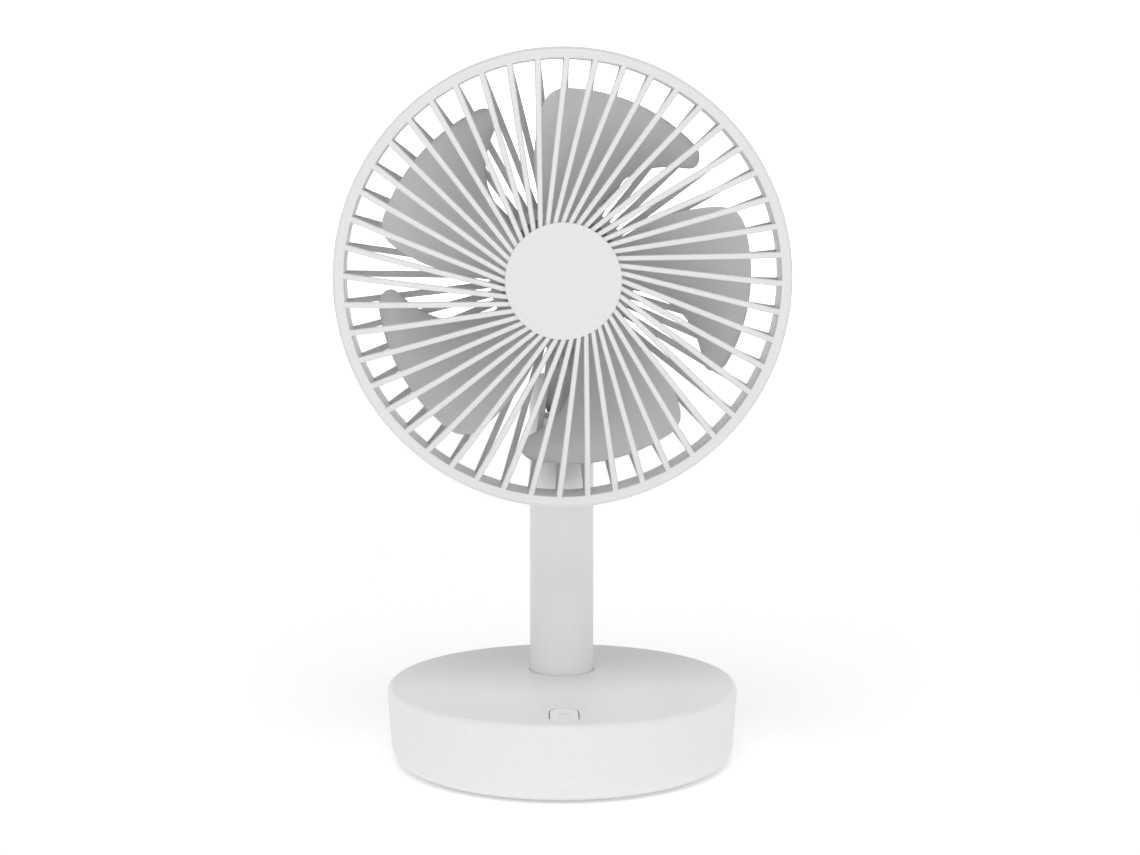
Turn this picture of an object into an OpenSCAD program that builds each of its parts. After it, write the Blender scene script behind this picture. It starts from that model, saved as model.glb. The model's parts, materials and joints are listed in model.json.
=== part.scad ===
// Desk fan on a round base: a swivelling column, a tilting head and a five-bladed impeller.
// Frame: +Z up, the fan blows towards -Y, origin under the middle of the base. Millimetres.

/* [Base] */
// Radius of the base at its top rim
base_r = 80; // [76:1:90]
// Radius of the base at the foot of its side
base_foot_r = 77.5; // [74:0.5:88]
// Height of the base top above the table
base_h = 35.5; // [34:0.5:40]
// Radius of the rounded top edge
top_edge_r = 4.2; // [2.5:0.1:5]
// Radius of the rounded bottom edge
foot_edge_r = 7; // [4:0.5:8]
// Gap between the base shell and the table
foot_gap = 1; // [0.6:0.1:2]
// Wall of the base shell
base_wall = 2.4; // [2:0.1:3]

/* [Column] */
// Outer radius of the column
column_r = 14.8; // [14.4:0.1:15.5]
// Distance of the column axis behind the middle of the base
column_y = 24.6; // [24:0.2:27]
// Height of the column top
column_top = 173.6; // [168:0.2:180]
// Wall of the column tube
column_wall = 2.2; // [1.8:0.1:2.6]
// Play between the column and the hole in the base top
column_play = 0.5; // [0.4:0.1:0.8]

/* [Head] */
// Height of the fan axis
head_z = 220; // [218:1:230]
// Outer radius of the rear housing
head_r = 100; // [98:0.5:104]
// Depth of the head from its rear rim to the face of its ring
head_depth = 33; // [32:0.5:38]
// Outer radius of the front ring
ring_r = 99.2; // [97:0.1:103]
// Inner radius of the front ring
ring_in_r = 94.9; // [92:0.1:96]
// Radius of the disc in the middle of the front grille
disc_r = 25; // [23:0.5:27]
// How far that disc stands in front of the ring
dome_h = 12; // [8:0.5:14]

/* [Grilles] */
// Number of ribs in each grille
rib_count = 48; // [36:1:48]
// Distance at which each front rib passes the fan axis
rib_offset = 9.4; // [6:0.2:12]
// Width of a front rib
rib_w = 2.2; // [1.6:0.1:2.6]
// Width of a rear rib
rear_rib_w = 2.6; // [2:0.1:2.8]

/* [Impeller] */
// Number of blades
blade_count = 5; // [3:1:5]
// Radius of the blade tips
blade_r = 82.4; // [78:0.2:86]
// Radius of the impeller hub
hub_r = 22; // [21.5:0.5:24]
// Thickness of a blade
blade_t = 1.8; // [1.4:0.1:2.4]

/* [Controls] */
// Width of the button
button_w = 13.2; // [12:0.2:14]
// Length of the button, round ends included
button_l = 24; // [22:0.5:25]
// Place of the button in front of the middle of the base
button_y = 62; // [60:0.5:63]
// Place of the row of lights in front of the middle of the base
lights_y = 45.4; // [44:0.2:47]
// Distance between two lights
lights_pitch = 6.27; // [5.5:0.1:7]

/* [Hinge] */
// Height of the tilt hinge
tilt_z = 164; // [162:0.5:165]
// Width of the neck
neck_w = 13.6; // [12:0.2:14]
// Radius of the eye at the foot of the neck
neck_eye_r = 7.5; // [7:0.1:8]
// Radius of the tilt screw
tilt_pin_r = 2.5; // [2:0.1:2.5]

/* [Swivel drive] */
// Module of the two gears
gear_module = 1; // [1:0.1:1]
// Teeth on the column gear
column_teeth = 40; // [38:1:40]
// Teeth on the motor pinion
pinion_teeth = 12; // [11:1:12]

/* [Hidden] */
$fn = 96;
// A hair, used where one cut runs past a face
eps = 0.01;

// Base shell
lip_z = foot_gap + base_wall;
ceiling_z = base_h - base_wall;
top_c = [base_r - top_edge_r, base_h - top_edge_r];
foot_c = [base_foot_r - foot_edge_r, foot_gap + foot_edge_r];
edge_d = foot_c - top_c;
// Slope of the side, tangent to both edge rounds
side_slope = atan2(-edge_d[0], -edge_d[1]) - asin((foot_edge_r - top_edge_r) / norm(edge_d));
plate_r = foot_c[0] - 0.3;
collar_h = 5;
boss_r = 3.5;
boss_angles = [30, 150, 210, 330];
boss_ring_r = 66;
pad_angles = [48, 132, 228, 312];
pad_ring_r = 57;
pad_r = 7;
pad_t = 2;
screw_r = 1.45;
head_screw_r = 2.8;

// Battery and weight
cell_r = 9.15;
cell_l = 65;
cell_ys = [-7, -26.5];
weight_t = 4;
weight_top = lip_z + weight_t;
cradle_floor = weight_top + 1.5;
cell_z = cradle_floor + cell_r + 0.1;
weight_box = [90, 48];
weight_y = -19;
cradle_box = [72, 44];
cradle_y = -17.4;
cradle_wall_top = 16;
cradle_hole = [40, 21];

// Boards
board_t = 1.6;
board_top = 29.5;
board_box = [48, 30];
board_y = -55;
board_hole = [21, 12.5];
switch_h = 1.7;
button_play = 0.2;
button_flange = 1.2;
flange_t = 0.8;
guide_r = 0.6;
light_xs = [for (i = [-1.5, -0.5, 0.5, 1.5]) i * lights_pitch];
usb_z = 14;
usb_w = 8.9;
usb_h = 3.2;
usb_l = 7.3;
usb_y = base_foot_r - 7.9;
usb_board_t = 1.2;
usb_board_top = usb_z - usb_h / 2;
usb_board_box = [20, 13];
usb_board_y = usb_y - 2.4;
usb_hole_x = 7.5;

// Swivel drive
column_pitch_r = gear_module * column_teeth / 2;
pinion_pitch_r = gear_module * pinion_teeth / 2;
mesh_play = 0.12;
pinion_x = column_pitch_r + pinion_pitch_r + mesh_play;
pressure_angle = 20;
gear_z = 20;
gear_t = 5;
motor_r = 12;
motor_h = 15;
motor_top = gear_z - 0.6;
motor_shift = 6;
motor_ear = 15.5;
sleeve_r = 8;
sleeve_bore_r = 5;
sleeve_top = 48;
seat_r = 16;
seat_t = 3;
washer_t = 1.9;
hub_bottom = lip_z + seat_t + washer_t + 0.1;
spigot_r = column_r - column_wall - 0.1;
tube_bottom = gear_z + gear_t + 2;
spigot_top = 45.2;
clip_z = spigot_top + 0.15;
clip_t = 1;

// Tilt hinge
slot_w = neck_w + 1.8;
slot_bottom = tilt_z - neck_eye_r - 1.5;
yoke_bottom = tilt_z - 24;
yoke_r = column_r - column_wall - 0.1;
friction_t = 0.8;
bolt_head_x = 9.4;
bolt_head_t = 2.2;
bolt_head_r = 4.3;
nut_r = 4.6;
lead_r = 2;
lead_bottom = 8;

// Head, in its own frame: x to the right, y up, z forwards, with z = 0 at the rear rim
face_z = head_depth;
ring_back_z = face_z - 5;
wall_out_back_r = head_r - 1.7;
wall_in_front_r = head_r - 2.4;
wall_in_back_r = head_r - 3.5;
spigot_depth = 6;
disc_front_z = face_z + dome_h;
disc_t = 2.2;
// Front edge of a front rib: radius and height above the rear rim
rib_front = [[24, disc_front_z], [60, disc_front_z - 1.2], [80, disc_front_z - 4], [96, face_z - 0.4]];
rib_depth = 3;
first_rib = 0.8;
first_rear_rib = -1;
cup_r = 32.4;
cup_back_z = -7;
cup_floor_t = 2;
cup_front_z = 1;
cup_wall = 5;
seam_z = 2.4;
rear_rib_side = [
    [cup_r - 1, cup_back_z + 0.3], [cup_r - 1, 0], [wall_in_back_r - 2, 4.2],
    [wall_in_back_r - 0.1, seam_z], [wall_in_back_r + 0.6, seam_z - 0.3], [wall_in_back_r + 0.6, 0.3]
];
cover_r = 31;
cover_back_z = -18;
cover_t = 1.8;
cover_edge_r = 4;
bracket_r = 20;
bracket_t = 3.6;
bracket_z = cup_back_z - 0.1;
neck_screw_r = 15.5;
cover_screw_r = 25.5;
cover_screw_angles = [0, 90, 180];

// Motor
tube_r = 6;
tube_front_z = 27;
tube_flange_r = 14;
tube_flange_t = 2;
tube_flange_z = cup_back_z + cup_floor_t;
bearing_r = 4;
bearing_t = 3;
front_bearing_z = 22;
rear_bearing_z = 2;
shaft_r = 1.5;
can_r = 19;
can_t = 1.2;
can_back_z = 9;
can_front_z = 28;
magnet_out_r = can_r - can_t;
magnet_in_r = 16.6;
stator_r = 16;
stator_z = 12;
stator_h = 12;
slot_count = 9;
tooth_w = 3.2;
coil_t = 1.3;
motor_board_z = 6.8;

// Blades: radius against the angle of each edge, clockwise from +x as seen from the front
trailing_edge = [[20, 178], [40, 181.5], [53, 184.5], [66, 188.2], [76.6, 191.9], [79.2, 193.4],
    [80.8, 195], [82, 197.3], [82.4, 200.5]];
leading_edge = [[20, 222], [36, 226], [50, 230], [58, 234.5], [63.5, 238.5], [67, 241.6],
    [72, 246.2], [74, 247.7], [76.1, 248.3], [78, 248], [80, 247], [81.5, 245.5], [82.4, 242.5]];
blade_front = [[20, 28], [50, 29], [82.4, 27.5]];
blade_rear = [[20, 9], [50, 8.5], [82.4, 11]];
blade_steps = 12;
chord_steps = 8;
blade_rs = [for (i = [0:blade_steps]) hub_r - 1 + (blade_r - hub_r + 1) * sin(90 * i / blade_steps)];

function arc(c, r, a, b, n) = [for (i = [0:n]) c + r * [cos(a + (b - a) * i / n), sin(a + (b - a) * i / n)]];

// Puts children that are drawn in the head's own frame in their place
module in_head()
{
    translate([0, 0, head_z])
        rotate([90, 0, 0])
            children();
}

// Puts children at the foot of the column axis
module at_column()
{
    translate([0, column_y, 0])
        children();
}

module ring(outer, inner, z, h)
{
    translate([0, 0, z])
        difference() {
            cylinder(r = outer, h = h);
            translate([0, 0, -1])
                cylinder(r = inner, h = h + 2);
        }
}

module round_box(size, h, r)
{
    linear_extrude(h)
        union() {
            square([size[0] - 2 * r, size[1]], center = true);
            square([size[0], size[1] - 2 * r], center = true);
            for (x = [-1, 1], y = [-1, 1])
                translate([x * (size[0] / 2 - r), y * (size[1] / 2 - r)])
                    circle(r = r, $fn = 32);
        }
}

// A slot shape with two round ends, long in y
module stadium(w, l, h)
{
    linear_extrude(h)
        union() {
            square([w, l - w], center = true);
            for (y = [-1, 1])
                translate([0, y * (l - w) / 2])
                    circle(r = w / 2, $fn = 48);
        }
}

// A pan-head screw along z: the underside of its head is at z = 0 and its tip at z = length
module screw(length, shank = screw_r, head = head_screw_r)
{
    cylinder(r = shank, h = length, $fn = 24);
    difference() {
        translate([0, 0, -1.4])
            cylinder(r = head, h = 1.4, $fn = 32);
        translate([0, 0, -1.5])
            cylinder(r = head * 0.42, h = 0.9, $fn = 6);
    }
}

// ---------- Gears ----------

function involute(base, t) = base * [cos(t) + t * PI / 180 * sin(t), sin(t) - t * PI / 180 * cos(t)];
function roll(base, r) = sqrt(max(0, pow(r / base, 2) - 1)) * 180 / PI;
function turned(p, a) = [p[0] * cos(a) - p[1] * sin(a), p[0] * sin(a) + p[1] * cos(a)];

// One gear as a polygon, with a tooth centred on +x
module gear_outline(teeth, play)
{
    pitch = gear_module * teeth / 2;
    base = pitch * cos(pressure_angle);
    tip = pitch + 0.9 * gear_module;
    root = pitch - 1.2 * gear_module;
    low = max(base, root);
    pitch_turn = roll(base, pitch) - pressure_angle;
    half = 90 / teeth - play / pitch * 90 / PI;
    steps = 4;
    flank = [for (i = [0:steps]) involute(base, roll(base, low + (tip - low) * i / steps))];
    rising = [for (p = flank) turned(p, -half - pitch_turn)];
    falling = [for (i = [steps:-1:0]) [rising[i][0], -rising[i][1]]];
    foot_angle = atan2(rising[0][1], rising[0][0]);
    tooth = concat([root * [cos(foot_angle), sin(foot_angle)]], rising, falling,
        [root * [cos(foot_angle), -sin(foot_angle)]]);
    polygon([for (k = [0:teeth - 1], p = tooth) turned(p, k * 360 / teeth)]);
}

// ---------- Base ----------

module base_profile(inset)
{
    polygon(concat(
        [[0, base_h - inset]],
        arc(top_c, top_edge_r - inset, 90, -side_slope, 8),
        arc(foot_c, foot_edge_r - inset, -side_slope, -90, 8),
        [[0, foot_gap + inset]]
    ));
}

module base_shell()
{
    color("whitesmoke")
        difference() {
            union() {
                difference() {
                    rotate_extrude()
                        base_profile(0);
                    rotate_extrude()
                        base_profile(base_wall);
                    translate([0, 0, foot_gap - 1])
                        cylinder(r = foot_c[0], h = base_wall + 1.5);
                }
                at_column()
                    translate([0, 0, ceiling_z - collar_h])
                        cylinder(r = column_r + column_play + 2.4, h = collar_h + eps);
                for (a = boss_angles)
                    rotate([0, 0, a])
                        translate([boss_ring_r, 0, lip_z])
                            cylinder(r = boss_r, h = ceiling_z - lip_z + eps, $fn = 48);
                for (x = [-1, 1], y = [-1, 1])
                    translate([x * board_hole[0], board_y + y * board_hole[1], board_top])
                        cylinder(r = 2.2, h = ceiling_z - board_top + eps, $fn = 32);
            }
            at_column()
                translate([0, 0, ceiling_z - collar_h - 1])
                    cylinder(r = column_r + column_play, h = collar_h + base_wall + 2);
            for (a = boss_angles)
                rotate([0, 0, a])
                    translate([boss_ring_r, 0, lip_z - 1])
                        cylinder(r = screw_r, h = 13, $fn = 24);
            for (x = [-1, 1], y = [-1, 1])
                translate([x * board_hole[0], board_y + y * board_hole[1], board_top - 1])
                    cylinder(r = 0.9, h = 4, $fn = 24);
            translate([0, -button_y, ceiling_z - 1])
                stadium(button_w, button_l, base_wall + 2);
            for (x = light_xs)
                translate([x, -lights_y, ceiling_z - 1])
                    cylinder(r = guide_r + 0.05, h = base_wall + 2, $fn = 24);
            usb_mouth();
        }
}

// The opening for the charging socket, through the rear of the base shell
module usb_mouth()
{
    translate([0, base_r + 2, usb_z])
        rotate([90, 0, 0])
            round_box([usb_w + 0.6, usb_h + 0.6], 12, 1.8);
}

module base_plate()
{
    color("gainsboro")
        difference() {
            union() {
                translate([0, 0, foot_gap])
                    cylinder(r = plate_r, h = base_wall);
                for (y = [-1, 1])
                    translate([pinion_x + motor_shift, column_y + y * motor_ear, lip_z - eps])
                        cylinder(r = 3, h = motor_top - 1 - lip_z, $fn = 32);
                for (x = [-1, 1])
                    translate([x * usb_hole_x, usb_board_y - 4, lip_z - eps])
                        cylinder(r = 2.4, h = usb_board_top - usb_board_t - lip_z, $fn = 32);
            }
            for (a = boss_angles)
                rotate([0, 0, a])
                    translate([boss_ring_r, 0, foot_gap - 1])
                        cylinder(r = screw_r + 0.2, h = 5, $fn = 24);
            for (a = boss_angles)
                rotate([0, 0, a])
                    translate([boss_ring_r, 0, foot_gap - 1])
                        cylinder(r = head_screw_r + 0.3, h = 2.4, $fn = 32);
            for (a = pad_angles)
                rotate([0, 0, a])
                    translate([pad_ring_r, 0, foot_gap - 1])
                        cylinder(r = pad_r, h = 2, $fn = 48);
            for (y = [-1, 1])
                translate([pinion_x + motor_shift, column_y + y * motor_ear, lip_z + 4])
                    cylinder(r = 0.9, h = 20, $fn = 24);
            for (x = [-1, 1])
                translate([x * usb_hole_x, usb_board_y - 4, lip_z + 1])
                    cylinder(r = 0.9, h = 20, $fn = 24);
            for (x = [-1, 1], y = [-1, 1])
                translate([x * cradle_hole[0], weight_y + y * cradle_hole[1], lip_z - 1.4])
                    cylinder(r = screw_r, h = 3, $fn = 24);
            at_column()
                for (a = [45:90:315])
                    rotate([0, 0, a])
                        translate([12.5, 0, lip_z - 1.4])
                            cylinder(r = 0.9, h = 3, $fn = 24);
        }
}

module foot_pads()
{
    color("dimgray")
        for (a = pad_angles)
            rotate([0, 0, a])
                translate([pad_ring_r, 0, 0])
                    cylinder(r = pad_r - 0.1, h = pad_t, $fn = 48);
}

module base_screws()
{
    color("silver")
        for (a = boss_angles)
            rotate([0, 0, a])
                translate([boss_ring_r, 0, foot_gap + 1.4])
                    screw(11);
}

module counterweight()
{
    color("slategray")
        translate([0, weight_y, lip_z])
            difference() {
                round_box(weight_box, weight_t, 8);
                for (x = [-1, 1], y = [-1, 1])
                    translate([x * cradle_hole[0], y * cradle_hole[1], -1])
                        cylinder(r = screw_r + 0.1, h = weight_t + 2, $fn = 24);
            }
}

module battery_cradle()
{
    color("lightgray")
        difference() {
            union() {
                translate([0, cradle_y, weight_top])
                    round_box(cradle_box, cradle_wall_top - weight_top, 3);
                for (x = [-1, 1], y = [-1, 1])
                    translate([x * cradle_hole[0], weight_y + y * cradle_hole[1], weight_top])
                        cylinder(r = 3.5, h = 1.5, $fn = 32);
            }
            for (y = cell_ys)
                translate([-cell_l / 2 - 0.3, y, cell_z])
                    rotate([0, 90, 0])
                        cylinder(r = cell_r + 0.1, h = cell_l + 0.6);
            for (x = [-1, 1], y = [-1, 1])
                translate([x * cradle_hole[0], weight_y + y * cradle_hole[1], weight_top - 1])
                    cylinder(r = screw_r + 0.1, h = 12, $fn = 24);
            for (x = [-1, 1], y = [-1, 1])
                translate([x * cradle_hole[0], weight_y + y * cradle_hole[1], cradle_floor])
                    cylinder(r = 3.5, h = 12, $fn = 32);
        }
}

module battery_cells()
{
    color("steelblue")
        for (y = cell_ys)
            translate([-cell_l / 2, y, cell_z])
                rotate([0, 90, 0])
                    union() {
                        cylinder(r = cell_r - 0.05, h = cell_l - 1);
                        cylinder(r = 3, h = cell_l, $fn = 32);
                    }
}

module cradle_screws()
{
    color("silver")
        for (x = [-1, 1], y = [-1, 1])
            translate([x * cradle_hole[0], weight_y + y * cradle_hole[1], cradle_floor])
                rotate([180, 0, 0])
                    screw(6.6);
}

module control_board()
{
    color("seagreen")
        translate([0, board_y, board_top - board_t])
            difference() {
                round_box(board_box, board_t, 5);
                for (x = [-1, 1], y = [-1, 1])
                    translate([x * board_hole[0], y * board_hole[1], -1])
                        cylinder(r = 1.1, h = 4, $fn = 24);
            }
}

module board_screws()
{
    color("silver")
        for (x = [-1, 1], y = [-1, 1])
            translate([x * board_hole[0], board_y + y * board_hole[1], board_top - board_t])
                screw(4, 0.85, 1.8);
}

module tact_switch()
{
    color("black")
        translate([0, -button_y, board_top])
            union() {
                translate([-3, -3, 0])
                    cube([6, 6, 1.2]);
                cylinder(r = 1.6, h = switch_h, $fn = 32);
            }
}

module status_leds()
{
    color("ivory")
        for (x = light_xs)
            translate([x - 0.8, -lights_y - 0.4, board_top])
                cube([1.6, 0.8, 0.6]);
}

module light_guides()
{
    color("gainsboro")
        for (x = light_xs)
            translate([x, -lights_y, board_top + 0.9])
                union() {
                    cylinder(r = guide_r, h = base_h - board_top - 0.9, $fn = 24);
                    cylinder(r = 1.2, h = ceiling_z - board_top - 1, $fn = 24);
                }
}

module power_button()
{
    color("whitesmoke")
        translate([0, -button_y, 0])
            union() {
                translate([0, 0, ceiling_z - 0.1 - eps])
                    stadium(button_w - 2 * button_play, button_l - 2 * button_play,
                        base_wall + 0.1 + eps);
                translate([0, 0, ceiling_z - 0.1 - flange_t])
                    stadium(button_w + 2 * button_flange, button_l + 2 * button_flange, flange_t);
                translate([0, 0, board_top + switch_h + 0.7])
                    cylinder(r = 2, h = 1, $fn = 32);
            }
}

module usb_board()
{
    color("seagreen")
        translate([0, usb_board_y, usb_board_top - usb_board_t])
            difference() {
                round_box(usb_board_box, usb_board_t, 1);
                for (x = [-1, 1])
                    translate([x * usb_hole_x, -4, -1])
                        cylinder(r = 1.1, h = 4, $fn = 24);
            }
}

module usb_screws()
{
    color("silver")
        for (x = [-1, 1])
            translate([x * usb_hole_x, usb_board_y - 4, usb_board_top])
                rotate([180, 0, 0])
                    screw(5, 0.85, 1.8);
}

module usb_c_socket()
{
    color("silver")
        translate([0, usb_y + usb_l, usb_z])
            rotate([90, 0, 0])
                union() {
                    difference() {
                        round_box([usb_w, usb_h], usb_l, 1.5);
                        translate([0, 0, -1])
                            round_box([usb_w - 0.6, usb_h - 0.6], usb_l, 1.2);
                    }
                    translate([-3.3, -0.35, 0.8])
                        cube([6.6, 0.7, usb_l - 1.2]);
                }
}

// ---------- Swivel drive ----------

module swivel_motor()
{
    color("silver")
        translate([pinion_x, column_y, 0])
            difference() {
                union() {
                    translate([motor_shift, 0, motor_top - motor_h])
                        cylinder(r = motor_r, h = motor_h);
                    translate([motor_shift - 3.5, -motor_ear - 3.5, motor_top - 1])
                        cube([7, 2 * motor_ear + 7, 1]);
                    motor_boss();
                }
                for (y = [-1, 1])
                    translate([motor_shift, y * motor_ear, motor_top - 3])
                        cylinder(r = 1.1, h = 6, $fn = 24);
            }
}

// The motor's fixed boss, under the pinion
module motor_boss()
{
    translate([0, 0, motor_top - 1])
        cylinder(r = 4, h = 1.3, $fn = 48);
}

module swivel_motor_screws()
{
    color("dimgray")
        for (y = [-1, 1])
            translate([pinion_x + motor_shift, column_y + y * motor_ear, motor_top])
                rotate([180, 0, 0])
                    screw(6, 0.85, 2);
}

module drive_pinion()
{
    color("ivory")
        translate([pinion_x, column_y, 0])
            union() {
                translate([0, 0, gear_z])
                    linear_extrude(gear_t)
                        rotate([0, 0, 180 + 180 / pinion_teeth])
                            gear_outline(pinion_teeth, 0.12);
                translate([0, 0, gear_z])
                    cylinder(r = 3.5, h = gear_t + 1.5, $fn = 48);
            }
}

module pivot_seat()
{
    color("lightgray")
        at_column()
            difference() {
                rotate_extrude()
                    polygon([
                        [sleeve_bore_r, lip_z], [seat_r, lip_z], [seat_r, lip_z + seat_t],
                        [sleeve_r, lip_z + seat_t], [sleeve_r, clip_z - 0.05],
                        [sleeve_r - 1, clip_z - 0.05], [sleeve_r - 1, clip_z + clip_t + 0.05],
                        [sleeve_r, clip_z + clip_t + 0.05], [sleeve_r, sleeve_top - 0.6],
                        [sleeve_r - 0.6, sleeve_top], [sleeve_bore_r, sleeve_top]
                    ]);
                for (a = [45:90:315])
                    rotate([0, 0, a])
                        translate([12.5, 0, lip_z - 1])
                            cylinder(r = 1.1, h = 8, $fn = 24);
                for (a = [45:90:315])
                    rotate([0, 0, a])
                        translate([12.5, 0, lip_z + seat_t - 1.5])
                            cylinder(r = 2.2, h = 8, $fn = 32);
            }
}

module pivot_screws()
{
    color("silver")
        at_column()
            for (a = [45:90:315])
                rotate([0, 0, a])
                    translate([12.5, 0, lip_z + seat_t - 1.5])
                        rotate([180, 0, 0])
                            screw(2.7, 0.85, 1.9);
}

module thrust_washer()
{
    color("ivory")
        at_column()
            ring(10.4, sleeve_r + 0.1, lip_z + seat_t, washer_t);
}

module column_gear()
{
    color("ivory")
        at_column()
            difference() {
                union() {
                    translate([0, 0, hub_bottom])
                        cylinder(r = 11, h = gear_z - hub_bottom + eps);
                    translate([0, 0, gear_z])
                        linear_extrude(gear_t)
                            gear_outline(column_teeth, 0.12);
                    translate([0, 0, gear_z + gear_t - eps])
                        cylinder(r = column_r - 0.2, h = tube_bottom - gear_z - gear_t + eps);
                    translate([0, 0, tube_bottom - eps])
                        cylinder(r = spigot_r, h = spigot_top - tube_bottom + eps);
                }
                translate([0, 0, hub_bottom - 1])
                    cylinder(r = sleeve_r + 0.05, h = 60);
            }
}

module column_retainer()
{
    color("silver")
        at_column()
            difference() {
                ring(10.5, sleeve_r - 0.95, clip_z, clip_t);
                translate([-2, 0, clip_z - 1])
                    cube([4, 20, 4]);
            }
}

module column_tube()
{
    color("whitesmoke")
        at_column()
            difference() {
                ring(column_r, column_r - column_wall, tube_bottom, column_top - tube_bottom);
                translate([-slot_w / 2, -20, slot_bottom])
                    cube([slot_w, 40, 40]);
            }
}

module column_yoke()
{
    color("gainsboro")
        at_column()
            difference() {
                translate([0, 0, yoke_bottom])
                    cylinder(r = yoke_r, h = column_top - yoke_bottom);
                translate([-slot_w / 2, -20, slot_bottom])
                    cube([slot_w, 40, 40]);
                translate([0, 0, yoke_bottom - 1])
                    cylinder(r = 4, h = 40, $fn = 48);
                translate([-20, 0, tilt_z])
                    rotate([0, 90, 0])
                        cylinder(r = tilt_pin_r + 0.05, h = 40, $fn = 48);
                translate([bolt_head_x, 0, tilt_z])
                    rotate([0, 90, 0])
                        cylinder(r = bolt_head_r + 0.1, h = 5, $fn = 48);
                translate([-bolt_head_x, 0, tilt_z])
                    rotate([0, -90, 0])
                        cylinder(r = nut_r + 0.1, h = 5, $fn = 6);
            }
}

module column_lead()
{
    color("dimgray")
        at_column()
            union() {
                translate([0, 0, lead_bottom])
                    cylinder(r = lead_r, h = yoke_bottom + 12 - lead_bottom, $fn = 32);
                translate([-3, -2.2, lead_bottom + 42])
                    cube([6, 4.4, 9]);
            }
}

// ---------- Tilt hinge ----------

module tilt_screw()
{
    color("silver")
        translate([0, column_y, tilt_z])
            rotate([0, 90, 0])
                union() {
                    translate([0, 0, -bolt_head_x - bolt_head_t])
                        cylinder(r = tilt_pin_r, h = 2 * bolt_head_x + bolt_head_t, $fn = 48);
                    difference() {
                        translate([0, 0, bolt_head_x])
                            cylinder(r = bolt_head_r, h = bolt_head_t, $fn = 48);
                        translate([0, 0, bolt_head_x + 0.9])
                            cylinder(r = 1.8, h = 3, $fn = 6);
                    }
                }
}

module tilt_nut()
{
    color("silver")
        translate([-bolt_head_x, column_y, tilt_z])
            rotate([0, -90, 0])
                difference() {
                    cylinder(r = nut_r, h = bolt_head_t, $fn = 6);
                    translate([0, 0, -1])
                        cylinder(r = tilt_pin_r + 0.02, h = 5, $fn = 48);
                }
}

module friction_washers()
{
    color("goldenrod")
        translate([0, column_y, tilt_z])
            rotate([0, 90, 0])
                for (s = [-1, 1])
                    ring(6, tilt_pin_r + 0.1, s * (neck_w / 2 + 0.45) - friction_t / 2, friction_t);
}

// Side view of the neck, as [y, z] in the world frame
neck_outline = [
    [7.3, 206], [7.3, 189], [12.5, 178], [column_y - neck_eye_r + 0.3, tilt_z + 2],
    [column_y, tilt_z - 2], [column_y + neck_eye_r - 0.3, tilt_z + 2], [31, 174],
    [28, 180], [18, 190], [13.5, 197], [10.9, 206]
];

module neck_arm()
{
    color("whitesmoke")
        difference() {
            union() {
                rotate([90, 0, 90])
                    translate([0, 0, -neck_w / 2])
                        linear_extrude(neck_w)
                            union() {
                                polygon(neck_outline);
                                translate([column_y, tilt_z])
                                    circle(r = neck_eye_r, $fn = 64);
                            }
                in_head()
                    translate([0, 0, bracket_z - bracket_t])
                        cylinder(r = bracket_r, h = bracket_t);
            }
            translate([-20, column_y, tilt_z])
                rotate([0, 90, 0])
                    cylinder(r = tilt_pin_r + 0.05, h = 40, $fn = 48);
            in_head()
                for (a = [45:90:315])
                    rotate([0, 0, a])
                        translate([neck_screw_r, 0, bracket_z - bracket_t - 1])
                            cylinder(r = screw_r + 0.15, h = 8, $fn = 24);
        }
}

module neck_screws()
{
    color("silver")
        in_head()
            for (a = [45:90:315])
                rotate([0, 0, a])
                    translate([neck_screw_r, 0, bracket_z - bracket_t])
                        screw(bracket_t + 2);
}

module rear_cover()
{
    color("whitesmoke")
        in_head()
            difference() {
                rotate_extrude()
                    polygon(concat(
                        [[0, cover_back_z]],
                        arc([cover_r - cover_edge_r, cover_back_z + cover_edge_r], cover_edge_r,
                            -90, 0, 8),
                        [[cover_r, cup_back_z], [cover_r - cover_t, cup_back_z]],
                        arc([cover_r - cover_edge_r, cover_back_z + cover_edge_r],
                            cover_edge_r - cover_t, 0, -90, 8),
                        [[0, cover_back_z + cover_t]]
                    ));
                translate([-neck_w / 2 - 0.3, -cover_r - 5, cover_back_z - 1])
                    cube([neck_w + 0.6, 20, 20]);
                for (a = cover_screw_angles)
                    rotate([0, 0, a])
                        translate([cover_screw_r, 0, cover_back_z - 1])
                            cylinder(r = screw_r + 0.15, h = 8, $fn = 24);
            }
}

module rear_cover_screws()
{
    color("silver")
        in_head()
            for (a = cover_screw_angles)
                rotate([0, 0, a])
                    translate([cover_screw_r, 0, cover_back_z])
                        screw(cup_back_z - cover_back_z + 1.6);
}

// ---------- Head ----------

module rear_rib()
{
    rotate([90, 0, 0])
        translate([0, 0, -rear_rib_w / 2])
            linear_extrude(rear_rib_w)
                polygon(rear_rib_side);
}

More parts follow.
